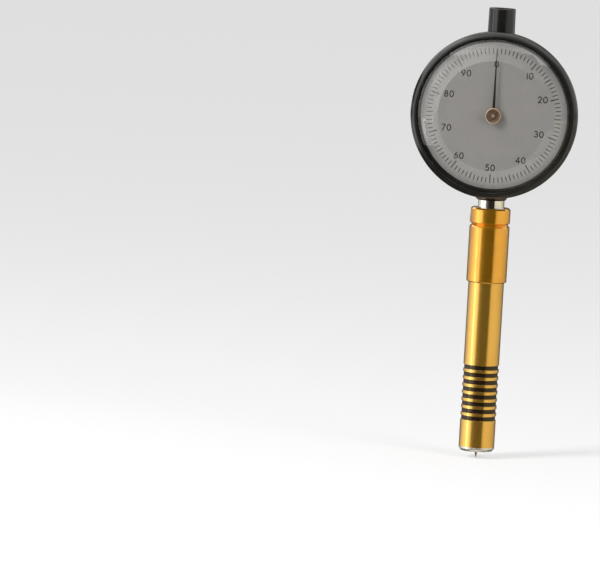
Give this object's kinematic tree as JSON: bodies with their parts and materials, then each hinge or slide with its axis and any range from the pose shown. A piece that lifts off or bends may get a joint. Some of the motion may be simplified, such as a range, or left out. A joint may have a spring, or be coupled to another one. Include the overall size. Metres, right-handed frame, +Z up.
{
  "type": "dial durometer",
  "caption": "Dial hardness gauge with a round black dial head on a slim gold barrel; a spring-loaded pin at the foot drives the pointer through a rack and gears.",
  "frame": {"origin": "centre of the presser foot's face at the lower end of the barrel", "axes": "+Z up the barrel to the dial head, +X to the right of someone who reads the dial, so the dial faces -Y and the case's back +Y"},
  "size_m": [0.0592, 0.0218, 0.1604],
  "materials": {
    "black_enamel": "satin black",
    "gold_barrel": "turned, lemon gold anodised",
    "orange_collar": "turned, orange gold anodised",
    "band_enamel": "gloss black",
    "foot_steel": "fine turned",
    "hard_steel": "ground",
    "chrome_plate": "polished",
    "spindle_steel": "ground",
    "spring_steel": "drawn wire",
    "screw_steel": "turned",
    "bush_bronze": "reamed bronze",
    "movement_brass": "satin",
    "pivot_bronze": "turned bronze",
    "arbor_steel": "polished",
    "dial_silver": "satin silvered",
    "pointer_black": "matt black",
    "hub_brass": "polished",
    "clear_crystal": "clear moulded acrylic"
  },
  "bodies": {
    "frame": {"presser_foot": "foot_steel", "foot_bush": "bush_bronze", "spring_washer": "screw_steel", "spring_adjuster": "movement_brass", "adjuster_lock_ring": "movement_brass", "rod_bush": "bush_bronze", "lower_barrel": "gold_barrel", "grip_bands": "band_enamel", "collar": "orange_collar", "collar_set_screw": "screw_steel", "stem": "chrome_plate", "lower_bushing": "bush_bronze", "guide_block": "movement_brass", "guide_block_screws": "screw_steel", "case_body": "black_enamel", "upper_bushing": "bush_bronze", "top_cap": "black_enamel", "back_cover": "black_enamel", "back_cover_screws": "screw_steel", "rear_plate": "movement_brass", "front_plate": "movement_brass", "plate_pillars": "movement_brass", "front_plate_screws": "screw_steel", "movement_screws": "screw_steel", "front_pivot_bushes": "pivot_bronze", "rear_pivot_bushes": "pivot_bronze", "pinion_bridge": "movement_brass", "bridge_pillars": "movement_brass", "bridge_bush": "pivot_bronze", "bridge_screws": "screw_steel", "hairspring": "spring_steel", "hairspring_stud": "movement_brass", "return_spring_stud": "screw_steel"},
    "bezel_assembly": {"bezel": "black_enamel", "crystal": "clear_crystal", "dial_face": "dial_silver", "bezel_ring": "spring_steel"},
    "plunger": {"indenter": "hard_steel", "indenter_holder": "spindle_steel", "push_rod": "spindle_steel", "main_spring": "spring_steel", "spindle_contact": "hard_steel", "spindle_rack": "spindle_steel", "guide_pin": "spindle_steel", "return_spring": "spring_steel"},
    "first_shaft": {"rack_pinion": "arbor_steel", "first_wheel": "movement_brass"},
    "pointer_shaft": {"centre_pinion": "arbor_steel", "pointer": "pointer_black", "pointer_hub": "hub_brass"},
    "takeup_shaft": {"takeup_arbor": "arbor_steel", "takeup_wheel": "movement_brass", "hairspring_collet": "movement_brass"}
  },
  "joints": [
    {"name": "plunger_slide", "type": "slide", "parent": "frame", "child": "plunger", "axis": [0, 0, 1], "range_m": [0, 0.0025], "stiffness_N_per_m": 17780, "deforming": ["main_spring", "return_spring"]},
    {"name": "first_shaft_turn", "type": "hinge", "parent": "frame", "child": "first_shaft", "pos_m": [-0.00319, 0, 0.11089], "axis": [0, 1, 0], "range_deg": [-90, 0]},
    {"name": "pointer_turn", "type": "hinge", "parent": "frame", "child": "pointer_shaft", "pos_m": [0, 0, 0.12037], "axis": [0, 1, 0], "range_deg": [0, 360]},
    {"name": "takeup_shaft_turn", "type": "hinge", "parent": "frame", "child": "takeup_shaft", "pos_m": [0.00319, 0, 0.12985], "axis": [0, 1, 0], "range_deg": [-90, 0]},
    {"name": "bezel_turn", "type": "hinge", "parent": "frame", "child": "bezel_assembly", "pos_m": [0, 0, 0.12037], "axis": [0, 1, 0], "continuous": true}
  ],
  "couplings": [
    {"joint": "first_shaft_turn", "follows": "plunger_slide", "rad_per_m": -628.32},
    {"joint": "pointer_turn", "follows": "plunger_slide", "rad_per_m": 2513.3},
    {"joint": "takeup_shaft_turn", "follows": "plunger_slide", "rad_per_m": -628.32}
  ]
}
